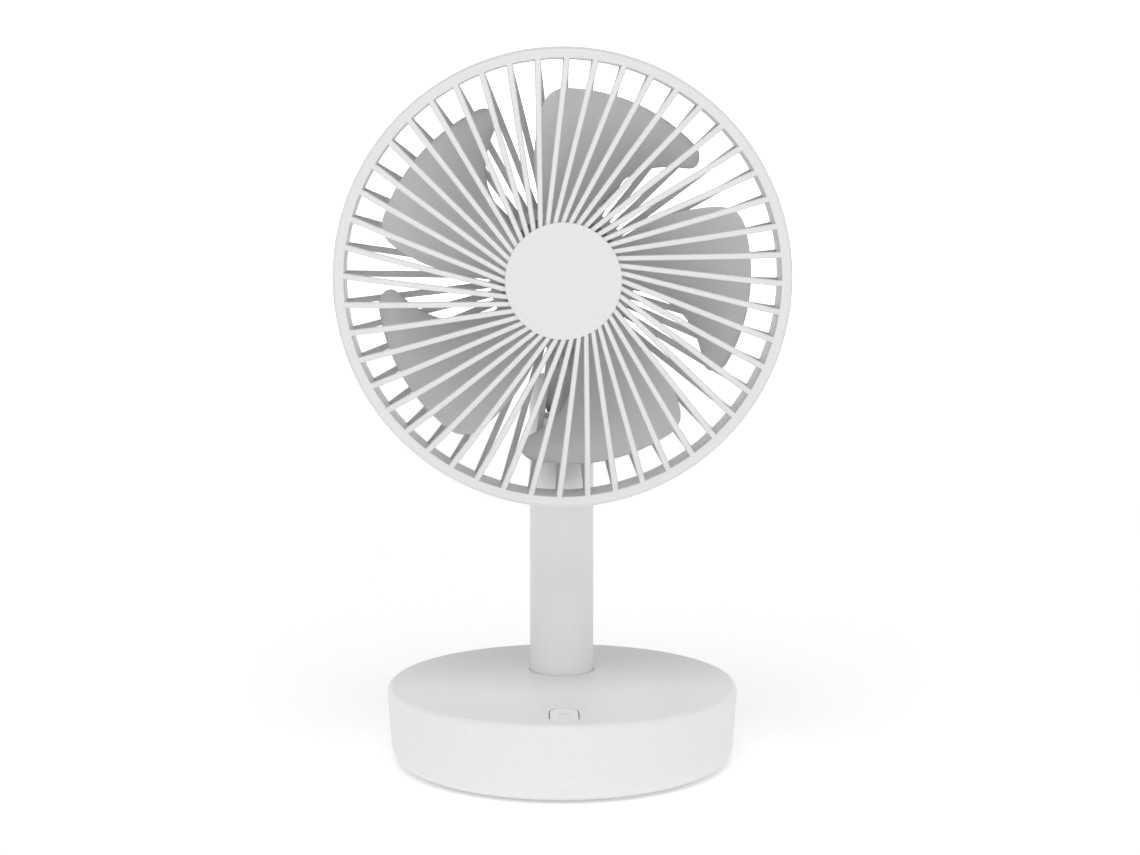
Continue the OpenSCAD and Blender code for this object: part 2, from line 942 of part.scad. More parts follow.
module rear_grille()
{
    color("whitesmoke")
        in_head()
            difference() {
                union() {
                    rotate_extrude()
                        polygon([
                            [wall_in_back_r, 0], [wall_out_back_r - 1.2, 0],
                            [wall_out_back_r, 1.2], [wall_out_back_r, seam_z],
                            [wall_in_back_r, seam_z]
                        ]);
                    rotate_extrude()
                        polygon([
                            [tube_r + 0.1, cup_back_z], [cup_r, cup_back_z],
                            [cup_r, cup_front_z], [cup_r - cup_wall, cup_front_z],
                            [cup_r - cup_wall, tube_flange_z], [tube_r + 0.1, tube_flange_z]
                        ]);
                    for (k = [0:rib_count - 1])
                        rotate([0, 0, first_rear_rib + k * 360 / rib_count])
                            rear_rib();
                }
                for (a = [45:90:315])
                    rotate([0, 0, a])
                        translate([neck_screw_r, 0, cup_back_z - 1])
                            cylinder(r = screw_r, h = 6, $fn = 24);
                for (a = cover_screw_angles)
                    rotate([0, 0, a])
                        translate([cover_screw_r, 0, cup_back_z - 1])
                            cylinder(r = screw_r, h = 6, $fn = 24);
                for (a = [0:120:240])
                    rotate([0, 0, a])
                        translate([10.5, 0, cup_back_z - 1])
                            cylinder(r = 0.9, h = 6, $fn = 24);
            }
}

module ring_housing()
{
    color("whitesmoke")
        in_head()
            rotate_extrude()
                polygon([
                    [wall_in_back_r, seam_z], [wall_out_back_r, seam_z],
                    [head_r, ring_back_z - 6], [head_r, ring_back_z],
                    [wall_in_front_r, ring_back_z], [wall_in_front_r, ring_back_z - spigot_depth - 1],
                    [wall_in_back_r, ring_back_z - spigot_depth - 4]
                ]);
}

function along(r) = sqrt(r * r - rib_offset * rib_offset);

module front_rib()
{
    front = [for (p = rib_front) [along(p[0]), p[1]]];
    back = [for (i = [len(rib_front) - 1:-1:0]) [along(rib_front[i][0]), rib_front[i][1] - rib_depth]];
    translate([0, rib_offset, 0])
        rotate([90, 0, 0])
            translate([0, 0, -rib_w / 2])
                linear_extrude(rib_w)
                    polygon(concat(front, back));
}

module front_grille()
{
    color("white")
        in_head()
            union() {
                rotate_extrude()
                    polygon([
                        [ring_in_r + 0.8, ring_back_z - spigot_depth],
                        [wall_in_front_r - 0.9, ring_back_z - spigot_depth],
                        [wall_in_front_r - 0.3, ring_back_z], [ring_r, ring_back_z],
                        [ring_r, face_z - 1.2], [ring_r - 0.9, face_z],
                        [ring_in_r + 0.6, face_z], [ring_in_r, face_z - 0.8]
                    ]);
                translate([0, 0, disc_front_z - disc_t])
                    cylinder(r = disc_r, h = disc_t);
                for (k = [0:rib_count - 1])
                    rotate([0, 0, first_rib + k * 360 / rib_count])
                        front_rib();
            }
}

// ---------- Motor ----------

module bearing_tube()
{
    color("silver")
        in_head()
            difference() {
                union() {
                    translate([0, 0, cup_back_z])
                        cylinder(r = tube_r, h = tube_front_z - cup_back_z);
                    translate([0, 0, tube_flange_z])
                        cylinder(r = tube_flange_r, h = tube_flange_t);
                }
                translate([0, 0, rear_bearing_z - 3])
                    cylinder(r = bearing_r, h = 60, $fn = 48);
                for (a = [0:120:240])
                    rotate([0, 0, a])
                        translate([10.5, 0, tube_flange_z - 1])
                            cylinder(r = 1.1, h = 6, $fn = 24);
            }
}

module bearing_tube_screws()
{
    color("dimgray")
        in_head()
            for (a = [0:120:240])
                rotate([0, 0, a])
                    translate([10.5, 0, tube_flange_z + tube_flange_t])
                        rotate([180, 0, 0])
                            screw(3.6, 0.85, 1.9);
}

module stator_core()
{
    color("dimgray")
        in_head()
            translate([0, 0, stator_z])
                linear_extrude(stator_h)
                    difference() {
                        union() {
                            circle(r = 9);
                            for (k = [0:slot_count - 1])
                                rotate([0, 0, k * 360 / slot_count])
                                    translate([0, -tooth_w / 2])
                                        square([stator_r - 1, tooth_w]);
                            difference() {
                                circle(r = stator_r);
                                circle(r = stator_r - 1.6);
                                for (k = [0:slot_count - 1])
                                    rotate([0, 0, (k + 0.5) * 360 / slot_count])
                                        translate([8, -0.9])
                                            square([12, 1.8]);
                            }
                        }
                        circle(r = tube_r + 0.02);
                    }
}

module stator_coils()
{
    color("chocolate")
        in_head()
            for (k = [0:slot_count - 1])
                rotate([0, 0, k * 360 / slot_count])
                    translate([9.7, 0, stator_z + stator_h / 2])
                        rotate([0, 90, 0])
                            difference() {
                                translate([0, 0, 2.15])
                                    cube([stator_h + 2 * coil_t, tooth_w + 2 * coil_t, 4.3],
                                        center = true);
                                cube([stator_h + 0.1, tooth_w + 0.1, 20], center = true);
                            }
}

module motor_board()
{
    color("seagreen")
        in_head()
            ring(16.5, tube_r + 0.1, motor_board_z, 1.2);
}

module front_bearing()
{
    color("silver")
        in_head()
            ring(bearing_r, shaft_r + 0.01, front_bearing_z, bearing_t);
}

module rear_bearing()
{
    color("silver")
        in_head()
            ring(bearing_r, shaft_r + 0.01, rear_bearing_z, bearing_t);
}

module rotor_can()
{
    color("lightslategray")
        in_head()
            rotate_extrude()
                polygon([
                    [can_r - can_t, can_back_z], [can_r, can_back_z], [can_r, can_front_z + can_t],
                    [3, can_front_z + can_t], [shaft_r, can_front_z + can_t],
                    [shaft_r, can_front_z - 0.6], [3, can_front_z - 0.6], [3, can_front_z],
                    [can_r - can_t, can_front_z]
                ]);
}

module magnet_ring()
{
    color("darkslategray")
        in_head()
            ring(magnet_out_r, magnet_in_r, can_back_z + 1, 17);
}

module rotor_shaft()
{
    color("silver")
        in_head()
            translate([0, 0, rear_bearing_z - 1.6])
                cylinder(r = shaft_r - 0.02, h = can_front_z + 4.5 - rear_bearing_z, $fn = 48);
}

module shaft_clip()
{
    color("gray")
        in_head()
            difference() {
                ring(3, shaft_r - 0.02, rear_bearing_z - 0.9, 0.6);
                translate([-0.8, 0, rear_bearing_z - 2])
                    cube([1.6, 5, 4]);
            }
}

// One blade: two grids of points, radius by chord, a blade thickness apart
function blade_point(r, u, side) =
    let (a = lookup(r, trailing_edge) * (1 - u) + lookup(r, leading_edge) * u)
    let (z = lookup(r, blade_front) * (1 - u) + lookup(r, blade_rear) * u)
    let (bow = 2.2 * sin(180 * u))
    [r * cos(a), -r * sin(a), z + bow + side * blade_t / 2];

module blade()
{
    rows = len(blade_rs);
    cols = chord_steps + 1;
    n = rows * cols;
    points = [for (s = [1, -1], r = blade_rs, j = [0:chord_steps]) blade_point(r, j / chord_steps, s)];
    cells = [for (i = [0:rows - 2], j = [0:cols - 2]) [i * cols + j, i * cols + j + 1,
        (i + 1) * cols + j + 1, (i + 1) * cols + j]];
    front_faces = [for (c = cells, t = [[0, 2, 1], [0, 3, 2]]) [c[t[0]], c[t[1]], c[t[2]]]];
    back_faces = [for (f = front_faces) [f[0] + n, f[2] + n, f[1] + n]];
    rim = concat(
        [for (j = [0:cols - 1]) j],
        [for (i = [1:rows - 1]) i * cols + cols - 1],
        [for (j = [cols - 2:-1:0]) (rows - 1) * cols + j],
        [for (i = [rows - 2:-1:1]) i * cols]
    );
    rim_faces = [for (k = [0:len(rim) - 1], t = [0, 1])
        let (a = rim[k])
        let (b = rim[(k + 1) % len(rim)])
        t == 0 ? [a, b, b + n] : [a, b + n, a + n]];
    polyhedron(points, concat(front_faces, back_faces, rim_faces), convexity = 6);
}

module impeller()
{
    color("darkgray")
        in_head()
            union() {
                rotate_extrude()
                    polygon([
                        [can_r, can_back_z - 1], [hub_r, can_back_z - 1], [hub_r, 34],
                        [hub_r - 2, 36], [0, 36], [0, 33], [shaft_r, 33],
                        [shaft_r, can_front_z + can_t], [can_r, can_front_z + can_t]
                    ]);
                for (k = [0:blade_count - 1])
                    rotate([0, 0, k * 360 / blade_count])
                        blade();
            }
}

base_shell();
base_plate();
foot_pads();
base_screws();
counterweight();
battery_cradle();
battery_cells();
cradle_screws();
control_board();
board_screws();
tact_switch();
status_leds();
light_guides();
power_button();
usb_board();
usb_screws();
usb_c_socket();
swivel_motor();
swivel_motor_screws();
drive_pinion();
pivot_seat();
pivot_screws();
thrust_washer();
column_gear();
column_retainer();
column_tube();
column_yoke();
column_lead();
tilt_screw();
tilt_nut();
friction_washers();
neck_arm();
neck_screws();
rear_cover();
rear_cover_screws();
rear_grille();
ring_housing();
front_grille();
bearing_tube();
bearing_tube_screws();
stator_core();
stator_coils();
motor_board();
front_bearing();
rear_bearing();
rotor_can();
magnet_ring();
rotor_shaft();
shaft_clip();
impeller();
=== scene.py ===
"""Looks of the desk fan: rounded mouldings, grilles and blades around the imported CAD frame."""

import json
import math

import bmesh
import bpy
from mathutils import Matrix, Vector


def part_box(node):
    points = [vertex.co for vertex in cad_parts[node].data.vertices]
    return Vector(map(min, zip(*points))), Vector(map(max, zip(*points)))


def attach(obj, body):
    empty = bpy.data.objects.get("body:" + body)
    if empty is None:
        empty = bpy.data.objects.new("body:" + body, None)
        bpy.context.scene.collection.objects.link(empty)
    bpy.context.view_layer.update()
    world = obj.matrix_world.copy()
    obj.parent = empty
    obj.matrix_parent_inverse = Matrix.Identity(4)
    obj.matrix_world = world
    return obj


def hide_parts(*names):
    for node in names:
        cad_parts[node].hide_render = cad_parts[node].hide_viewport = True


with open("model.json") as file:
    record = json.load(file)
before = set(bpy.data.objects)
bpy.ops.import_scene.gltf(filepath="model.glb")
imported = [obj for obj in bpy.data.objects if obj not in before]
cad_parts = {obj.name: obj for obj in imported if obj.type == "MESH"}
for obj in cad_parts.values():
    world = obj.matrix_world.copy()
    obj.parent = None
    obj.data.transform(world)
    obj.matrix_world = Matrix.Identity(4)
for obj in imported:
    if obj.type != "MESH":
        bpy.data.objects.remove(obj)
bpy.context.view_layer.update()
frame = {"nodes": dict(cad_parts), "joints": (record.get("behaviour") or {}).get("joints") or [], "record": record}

MM = 0.001
TAU = 2 * math.pi

# ---------------------------------------------------------------------------
# Sizes, read from the frame (metres). The head's own frame has its z along the
# fan axis towards the viewer, with z = 0 at the rear rim.
# ---------------------------------------------------------------------------
def joint_place(name):
    """Where a joint's axis passes, at rest."""
    return next(j for j in frame["joints"] if j["name"] == name)["pos_m"]


HEAD_Z = joint_place("fan_spin")[2]
COLUMN_Y = joint_place("swivel")[1]
TILT_Z = joint_place("tilt")[2]

shell_low, shell_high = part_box("base_shell")
BASE_R = shell_high.x
BASE_H = shell_high.z
BASE_Z = shell_low.z
BASE_WALL = 2.4 * MM
PLATE_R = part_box("base_plate")[1].x

tube_low, tube_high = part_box("column_tube")
COLUMN_R = tube_high.x
COLUMN_TOP = tube_high.z
COLUMN_FOOT = tube_low.z

ring_low, ring_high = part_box("front_grille")
RING_R = ring_high.x - 0.4 * MM
FACE_Z = 33 * MM
DISC_Z = -ring_low.y
housing_low, housing_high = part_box("ring_housing")
HOUSING_R = housing_high.x
HOUSING_FRONT = -housing_low.y
SEAM_Z = -housing_high.y
rear_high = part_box("rear_grille")[1]
REAR_R = rear_high.x
CUP_BACK = -rear_high.y
BLADE_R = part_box("impeller")[1].z - HEAD_Z
RING_IN_R = 94.5 * MM
DISC_R = 25 * MM
CUP_R = 32.4 * MM
WALL_IN_R = 95.9 * MM
RIBS = 48
RIB_OFFSET = 9.4 * MM
FIRST_RIB = 0.8
FIRST_REAR_RIB = -1.0

HEAD_FRAME = Matrix.Translation((0, 0, HEAD_Z)) @ Matrix.Rotation(math.radians(90), 4, "X")


# ---------------------------------------------------------------------------
# Camera
# ---------------------------------------------------------------------------
LENS = 65.8
CAMERA_PLACE = (-0.0114, -0.9335, 0.2608)
CAMERA_DOWN = 6.64
CAMERA_TURN = -0.915


def make_camera():
    """The camera, a little above the fan's axis and looking slightly down."""
    data = bpy.data.cameras.new("camera")
    data.sensor_width = 36
    data.lens = LENS
    camera = bpy.data.objects.new("camera", data)
    camera.location = CAMERA_PLACE
    camera.rotation_euler = (math.radians(90 - CAMERA_DOWN), 0, math.radians(CAMERA_TURN))
    bpy.context.scene.collection.objects.link(camera)
    bpy.context.scene.camera = camera


make_camera()


# ---------------------------------------------------------------------------
# Mesh helpers
# ---------------------------------------------------------------------------
def add_mesh(name, bm, where=None):
    """A new object from a bmesh, with outward normals and smooth shading."""
    bmesh.ops.recalc_face_normals(bm, faces=bm.faces)
    if where is not None:
        bm.transform(where)
    mesh = bpy.data.meshes.new(name)
    bm.to_mesh(mesh)
    bm.free()
    for polygon in mesh.polygons:
        polygon.use_smooth = True
    piece = bpy.data.objects.new(name, mesh)
    bpy.context.scene.collection.objects.link(piece)
    return piece


def rounded(points, steps=6):
    """A closed outline from (x, y, radius) corners, each rounded by an arc of that radius."""
    outline = []
    for i, (x, y, radius) in enumerate(points):
        corner = Vector((x, y))
        if radius <= 0:
            outline.append(corner)
            continue
        before = Vector(points[i - 1][:2]) - corner
        after = Vector(points[(i + 1) % len(points)][:2]) - corner
        half = before.angle(after) / 2
        back = radius / math.tan(half)
        start = corner + before.normalized() * back
        end = corner + after.normalized() * back
        middle = corner + (before.normalized() + after.normalized()).normalized() * radius / math.sin(half)
        a = math.atan2(*(start - middle).yx)
        b = math.atan2(*(end - middle).yx)
        turn = (b - a + math.pi) % TAU - math.pi
        for k in range(steps + 1):
            angle = a + turn * k / steps
            outline.append(middle + radius * Vector((math.cos(angle), math.sin(angle))))
    return outline


def lathe(bm, outline, segments=192):
    """Turns a closed outline of (radius, z) points about z. A run to the axis becomes a flat cap."""
    turns = [(math.cos(TAU * k / segments), math.sin(TAU * k / segments)) for k in range(segments)]
    rings = []
    for radius, z in outline:
        on_axis = radius < 1e-7
        rings.append(None if on_axis else [bm.verts.new((radius * c, radius * s, z)) for c, s in turns])
    for i, ring in enumerate(rings):
        following = rings[(i + 1) % len(rings)]
        if ring is None and following is None:
            continue
        if ring is None or following is None:
            bm.faces.new(ring or following)
            continue
        for k in range(segments):
            n = (k + 1) % segments
            bm.faces.new((ring[k], ring[n], following[n], following[k]))


def loft(bm, rings, closed_ends=True):
    """Joins rings of equally many points into one closed tube."""
    made = [[bm.verts.new(p) for p in ring] for ring in rings]
    count = len(made[0])
    for a, b in zip(made, made[1:]):
        for k in range(count):
            n = (k + 1) % count
            bm.faces.new((a[k], a[n], b[n], b[k]))
    if closed_ends:
        bm.faces.new(list(reversed(made[0])))
        bm.faces.new(made[-1])


def prism(bm, outline, low, high):
    """Extrudes an outline of (x, y) points from z = low to z = high."""
    loft(bm, [[(x, y, low) for x, y in outline], [(x, y, high) for x, y in outline]])


def box_outline(width, length, radius, steps=6):
    """A rectangle about the origin with rounded corners."""
    x = width / 2
    y = length / 2
    return rounded([(x, y, radius), (-x, y, radius), (-x, -y, radius), (x, -y, radius)], steps)


def circle_outline(radius, steps=32, centre=(0, 0)):
    """Points round a circle."""
    x, y = centre
    angles = [TAU * k / steps for k in range(steps)]
    return [(x + radius * math.cos(a), y + radius * math.sin(a)) for a in angles]


def around(radius, angle):
    """The (x, y) point at a radius and an angle in degrees."""
    return (Matrix.Rotation(math.radians(angle), 4, "Z") @ Vector((radius, 0, 0))).xy


def baked(piece):
    """Applies the piece's modifiers."""
    depsgraph = bpy.context.evaluated_depsgraph_get()
    mesh = bpy.data.meshes.new_from_object(piece.evaluated_get(depsgraph))
    piece.modifiers.clear()
    piece.data = mesh
    return piece


def cut(piece, cutters):
    """Takes the cutters' shapes away from the piece."""
    for cutter in cutters:
        modifier = piece.modifiers.new("cut", "BOOLEAN")
        modifier.operation = "DIFFERENCE"
        modifier.solver = "EXACT"
        modifier.object = cutter
    baked(piece)
    for cutter in cutters:
        bpy.data.objects.remove(cutter)
    return piece


def bevel(piece, width, segments=3, angle=35):
    """Rounds every edge sharper than the angle, and keeps flat faces flat in the shading."""
    modifier = piece.modifiers.new("bevel", "BEVEL")
    modifier.width = width
    modifier.segments = segments
    modifier.limit_method = "ANGLE"
    modifier.angle_limit = math.radians(angle)
    modifier.harden_normals = False
    weighted = piece.modifiers.new("weighted", "WEIGHTED_NORMAL")
    weighted.keep_sharp = True
    return baked(piece)


def flat_normals(piece):
    """Keeps large flat faces flat in the shading of a smooth mesh."""
    piece.modifiers.new("weighted", "WEIGHTED_NORMAL")
    return baked(piece)


def finish_piece(piece, body, slot, material, *nodes):
    """Paints a piece, sets it on its body, and hides the CAD nodes that it stands for."""
    piece.data.materials.clear()
    piece.data.materials.append(material)
    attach(piece, body)
    if nodes:
        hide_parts(*nodes)
    return piece


# ---------------------------------------------------------------------------
# Materials
# ---------------------------------------------------------------------------
class Look:
    """A procedural material: a Principled shader with colour, roughness and bump from noise."""

    def __init__(self, name, roughness=0.5, metallic=0.0, specular=0.5):
        self.material = bpy.data.materials.new(name)
        self.material.use_nodes = True
        self.tree = self.material.node_tree
        self.shader = self.tree.nodes["Principled BSDF"]
        self.shader.inputs["Roughness"].default_value = roughness
        self.shader.inputs["Metallic"].default_value = metallic
        self.shader.inputs["Specular IOR Level"].default_value = specular
        self.place = self.tree.nodes.new("ShaderNodeTexCoord").outputs["Object"]

    def link(self, a, b):
        """Joins an output to an input."""
        self.tree.links.new(a, b)

    def noise(self, scale, detail=3.0, stretch=None):
        """Noise over the object's own coordinates, drawn out by the stretch."""
        node = self.tree.nodes.new("ShaderNodeTexNoise")
        node.inputs["Scale"].default_value = scale
        node.inputs["Detail"].default_value = detail
        if stretch is None:
            self.link(self.place, node.inputs["Vector"])
        else:
            mapping = self.tree.nodes.new("ShaderNodeMapping")
            mapping.inputs["Scale"].default_value = stretch
            self.link(self.place, mapping.inputs["Vector"])
            self.link(mapping.outputs["Vector"], node.inputs["Vector"])
        return node.outputs["Fac"]

    def ramp(self, source, low, high, start=0.3, end=0.7):
        """Colours from low to high as the source goes from start to end."""
        node = self.tree.nodes.new("ShaderNodeValToRGB")
        node.color_ramp.elements[0].position = start
        node.color_ramp.elements[1].position = end
        node.color_ramp.elements[0].color = (*low, 1)
        node.color_ramp.elements[1].color = (*high, 1)
        self.link(source, node.inputs["Fac"])
        return node.outputs["Color"]

    def colour(self, source, low, high, start=0.3, end=0.7):
        """Makes a ramp the base colour."""
        self.link(self.ramp(source, low, high, start, end), self.shader.inputs["Base Color"])

    def rough(self, source, low, high):
        """Varies the roughness from low to high."""
        node = self.tree.nodes.new("ShaderNodeMapRange")
        node.inputs["From Min"].default_value = 0.3
        node.inputs["From Max"].default_value = 0.7
        node.inputs["To Min"].default_value = low
        node.inputs["To Max"].default_value = high
        self.link(source, node.inputs["Value"])
        self.link(node.outputs["Result"], self.shader.inputs["Roughness"])

    def bump(self, source, strength, distance):
        """Adds a bump on top of any there is."""
        node = self.tree.nodes.new("ShaderNodeBump")
        node.inputs["Strength"].default_value = strength
        node.inputs["Distance"].default_value = distance
        previous = self.shader.inputs["Normal"]
        if previous.is_linked:
            self.link(previous.links[0].from_socket, node.inputs["Normal"])
        self.link(source, node.inputs["Height"])
        self.link(node.outputs["Normal"], previous)


def grey(value, warmth=0.0):
    """A grey, a little redder and less blue as the warmth grows."""
    return (value * (1 + warmth), value, value * (1 - warmth))


SPECKLE = 0.03


def moulded_plastic(name, value, roughness, grain=0.25, warmth=0.0):
    """Satin plastic with the fine grain of a spark-eroded mould and a faint cloudiness."""
    look = Look(name, roughness, specular=0.3)
    cloud = look.noise(35, 2)
    fine = look.noise(1300, 3)
    look.colour(fine, grey(value * (1 - SPECKLE), warmth), grey(value * (1 + SPECKLE), warmth))
    look.rough(cloud, roughness - 0.04, roughness + 0.04)
    look.bump(fine, grain, 0.05 * MM)
    return look.material


def metal(name, value, roughness, stretch=(1, 1, 30), warmth=0.0):
    """Drawn or turned metal, with marks along one direction."""
    look = Look(name, roughness, metallic=1.0)
    marks = look.noise(220, 4, stretch)
    look.colour(marks, grey(value * 0.9, warmth), grey(value * 1.05, warmth))
    look.rough(marks, roughness - 0.06, roughness + 0.1)
    look.bump(marks, 0.12, 0.02 * MM)
    return look.material


def tinted(name, low, high, roughness, scale=400, strength=0.15, metallic=0.0):
    """Any other material: two near colours mixed by noise, and a matching bump."""
    look = Look(name, roughness, metallic=metallic)
    mottle = look.noise(scale, 3)
    look.colour(mottle, low, high)
    look.rough(mottle, roughness - 0.05, roughness + 0.05)
    look.bump(mottle, strength, 0.05 * MM)
    return look.material


def banded(name, low, high, roughness, scale, direction, metallic=0.0, strength=0.6):
    """Fine parallel bands, such as stacked sheets or turns of wire."""
    look = Look(name, roughness, metallic=metallic)
    wave = look.tree.nodes.new("ShaderNodeTexWave")
    wave.bands_direction = direction
    wave.inputs["Scale"].default_value = scale
    wave.inputs["Distortion"].default_value = 0.4
    look.link(look.place, wave.inputs["Vector"])
    look.colour(wave.outputs["Fac"], low, high)
    look.bump(wave.outputs["Fac"], strength, 0.1 * MM)
    return look.material


SHELL = moulded_plastic("shell_plastic", 0.80, 0.5)
GRILLE = moulded_plastic("grille_plastic", 0.76, 0.5, grain=0.2)
# The rear grille's white plastic made darker: painted shade for the cup and ribs deep inside the housing.
REAR_PAINTED_SHADE = moulded_plastic("rear_grille_painted_shade", 0.64, 0.5, grain=0.2)
BLADE = moulded_plastic("blade_plastic", 0.64, 0.45, grain=0.12)
BUTTON = moulded_plastic("button_plastic", 0.84, 0.46, grain=0.15)
RUBBER = tinted("pad_rubber", (0.03, 0.03, 0.03), (0.05, 0.05, 0.05), 0.85)
SCREW = metal("screw_steel", 0.55, 0.3)
WEIGHT = metal("weight_steel", 0.22, 0.5, (1, 20, 1))
INNER = moulded_plastic("inner_plastic", 0.5, 0.5)
WRAP = tinted("cell_wrap", (0.03, 0.12, 0.35), (0.04, 0.15, 0.40), 0.25, 60, 0.05)
BOARD = tinted("board_mask", (0.01, 0.10, 0.04), (0.015, 0.14, 0.055), 0.3, 500, 0.1)
BLACK = moulded_plastic("switch_plastic", 0.03, 0.45)
LED = tinted("led_body", (0.75, 0.72, 0.55), (0.8, 0.78, 0.62), 0.3)
GUIDE = tinted("light_guide", (0.58, 0.58, 0.58), (0.64, 0.64, 0.64), 0.3, 900, 0.05)
PORT = metal("port_steel", 0.6, 0.2)
MOTOR = metal("motor_steel", 0.55, 0.35, (1, 30, 1))
ACETAL = moulded_plastic("gear_acetal", 0.72, 0.4, warmth=0.02)
LEAD = tinted("lead_sheath", (0.02, 0.02, 0.02), (0.035, 0.035, 0.035), 0.6)
BRASS = metal("hinge_brass", 0.5, 0.3, warmth=0.3)
TUBE = metal("tube_aluminium", 0.62, 0.3, (1, 30, 1))
CORE = banded("core_sheets", (0.08, 0.08, 0.085), (0.2, 0.2, 0.21), 0.4, 600, "Y", 1.0)
COIL = banded("coil_wire", (0.35, 0.11, 0.03), (0.62, 0.24, 0.08), 0.3, 500, "DIAGONAL", 0.8)
BALL = metal("bearing_steel", 0.62, 0.2)
MAGNET = tinted("magnet_body", (0.03, 0.03, 0.035), (0.05, 0.05, 0.055), 0.5)
MARK = tinted("printed_mark", (0.60, 0.60, 0.60), (0.63, 0.63, 0.63), 0.5)

SLOT_LOOKS = {
    "shell_white": SHELL, "grille_white": GRILLE, "blade_grey": BLADE, "pad_rubber": RUBBER,
    "screw_steel": SCREW, "weight_steel": WEIGHT, "inner_plastic": INNER, "cell_wrap": WRAP,
    "board_green": BOARD, "switch_black": BLACK, "led_white": LED, "guide_clear": GUIDE,
    "port_steel": PORT, "motor_steel": MOTOR, "gear_acetal": ACETAL, "lead_black": LEAD,
    "hinge_brass": BRASS, "tube_metal": TUBE, "core_steel": CORE, "coil_copper": COIL,
    "bearing_steel": BALL, "magnet_dark": MAGNET,
}


def paint_frame():
    """Gives every CAD node the material of its record slot."""
    for part in frame["record"]["subparts"]:
        mesh = frame["nodes"][part["node"]].data
        look = SLOT_LOOKS[part["material_slot"]]
        if not mesh.materials:
            mesh.materials.append(look)
        for i in range(len(mesh.materials)):
            mesh.materials[i] = look


paint_frame()


# ---------------------------------------------------------------------------
# Base
# ---------------------------------------------------------------------------
FOOT_R = 77.5 * MM
TOP_EDGE = 3.2 * MM
FOOT_EDGE = 7 * MM
COLLAR = 0.35 * MM
PLATE_GAP = 0.3 * MM
button_low, button_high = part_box("power_button")
BUTTON_Y = (button_low.y + button_high.y) / 2
BUTTON_W = 13.2 * MM
BUTTON_L = 24 * MM
BUTTON_GAP = 0.45 * MM
BUTTON_FLANGE_T = 0.8 * MM
BUTTON_STEM_R = 2 * MM
MARK_R = 3 * MM
MARK_LINE = 0.4 * MM
MARK_DOT_R = 0.308 * MM
MARK_DOT_PITCH = 2.2 * MM
GUIDE_FLANGE_R = 1.2 * MM
LIGHT_HOLE_R = 0.65 * MM
guides_low, guides_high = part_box("light_guides")
LIGHTS_Y = guides_low.y + GUIDE_FLANGE_R
LIGHTS_PITCH = (guides_high.x - GUIDE_FLANGE_R) / 1.5
socket_low, socket_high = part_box("usb_c_socket")
PORT_Z = (socket_low.z + socket_high.z) / 2
PORT_W = 9.5 * MM
PORT_H = 3.8 * MM
PORT_CORNER = 1.8 * MM
SCREW_ANGLES = (30, 150, 210, 330)
SCREW_PLACE_R = 66 * MM
SCREW_HOLE_R = 3.1 * MM
SCREW_SEAT_Z = 2.4 * MM
PAD_ANGLES = (48, 132, 228, 312)
PAD_PLACE_R = 57 * MM
PAD_R = 6.9 * MM
PAD_T = 2 * MM
PAD_RECESS_R = 7 * MM


def stadium_outline(width, length, centre_y, steps=16):
    """A slot shape with round ends, long in y."""
    radius = width / 2
    reach = length / 2 - radius
    points = []
    for side, start in ((1, 0), (-1, math.pi)):
        for k in range(steps + 1):
            angle = start + math.pi * k / steps
            points.append((radius * math.cos(angle), centre_y + side * reach + radius * math.sin(angle)))
    return points


def cutter(name, outline, low, high, where=None):
    """A prism to be taken away from a piece."""
    bm = bmesh.new()
    prism(bm, outline, low, high)
    return add_mesh(name, bm, where)


def side_point(z):
    """The (radius, z) point at height z on the slanted side of the base."""
    return FOOT_R + (BASE_R - FOOT_R) * (z - BASE_Z) / (BASE_H - BASE_Z), z


def make_base_shell():
    """The upper shell of the base, with its holes for column, button, lights and port."""
    wall = BASE_WALL
    above = side_point(PORT_Z + 3 * MM)
    below = side_point(PORT_Z - 3 * MM)
    outline = rounded([
        (0, BASE_H, 0), (BASE_R, BASE_H, TOP_EDGE), (*above, 0), (*below, 0), (FOOT_R, BASE_Z, FOOT_EDGE),
        (PLATE_R + PLATE_GAP, BASE_Z, 0.3 * MM), (PLATE_R + PLATE_GAP, BASE_Z + wall, 0.3 * MM),
        (FOOT_R - wall, BASE_Z + wall, 4 * MM), (BASE_R - wall, BASE_H - wall, 2 * MM),
        (0, BASE_H - wall, 0),
    ], 10)
    bm = bmesh.new()
    lathe(bm, outline, 240)
    piece = add_mesh("fan_base_shell", bm)
    up = (BASE_H - 2 * wall, BASE_H + wall)
    outward = (BASE_R - 10 * MM, BASE_R + 4 * MM)
    to_port = Matrix.Translation((0, 0, PORT_Z)) @ Matrix.Rotation(math.radians(-90), 4, "X")
    cutters = [
        cutter("c_column", circle_outline(COLUMN_R + COLLAR, 96, (0, COLUMN_Y)), *up),
        cutter("c_button", stadium_outline(BUTTON_W, BUTTON_L, BUTTON_Y), *up),
        cutter("c_port", box_outline(PORT_W, PORT_H, PORT_CORNER), *outward, to_port),
    ]
    for i in range(4):
        x = (i - 1.5) * LIGHTS_PITCH
        cutters.append(cutter(f"c_light_{i}", circle_outline(LIGHT_HOLE_R, 20, (x, LIGHTS_Y)), *up))
    cut(piece, cutters)
    bevel(piece, 0.1 * MM, 2, 60)
    return finish_piece(piece, "base", "shell_white", SHELL, "base_shell")


